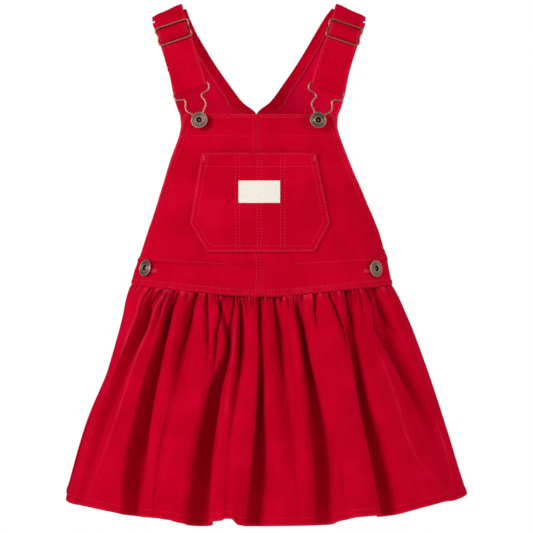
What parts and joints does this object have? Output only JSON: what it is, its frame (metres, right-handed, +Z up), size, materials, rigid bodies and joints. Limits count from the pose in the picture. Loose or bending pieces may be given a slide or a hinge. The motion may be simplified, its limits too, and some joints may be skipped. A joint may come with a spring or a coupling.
{
  "type": "pinafore dress",
  "caption": "Child's corduroy pinafore dress with a bib and patch pocket, adjustable straps on wire hooks, buttoned sides and a gathered skirt.",
  "frame": {"origin": "midway between the undersides of the two straps, at the top of the wearer's shoulders", "axes": "+Z up, the front faces -Y, +X to the right as the front is seen"},
  "size_m": [0.404, 0.2388, 0.5045],
  "materials": {
    "corduroy": "fine-wale cotton corduroy, red, matt with a soft nap sheen",
    "label": "woven cotton tape, cream, matt, bare",
    "copper": "antique copper plating, dark in the recesses, satin"
  },
  "bodies": {
    "root": {"front_left": "corduroy", "front_right": "corduroy", "back_left": "corduroy", "back_right": "corduroy", "neck_facing_left": "corduroy", "neck_facing_right": "corduroy", "placket_left": "corduroy", "placket_right": "corduroy", "pocket": "corduroy", "label": "label", "strap_left": "corduroy", "strap_right": "corduroy", "slider_left": "copper", "slider_right": "copper", "slider_bar_left": "copper", "slider_bar_right": "copper", "hook_left": "copper", "hook_right": "copper", "bib_button_left": "copper", "bib_button_right": "copper", "side_button_left": "copper", "side_button_right": "copper", "skirt_front": "corduroy", "skirt_back": "corduroy"}
  },
  "joints": []
}
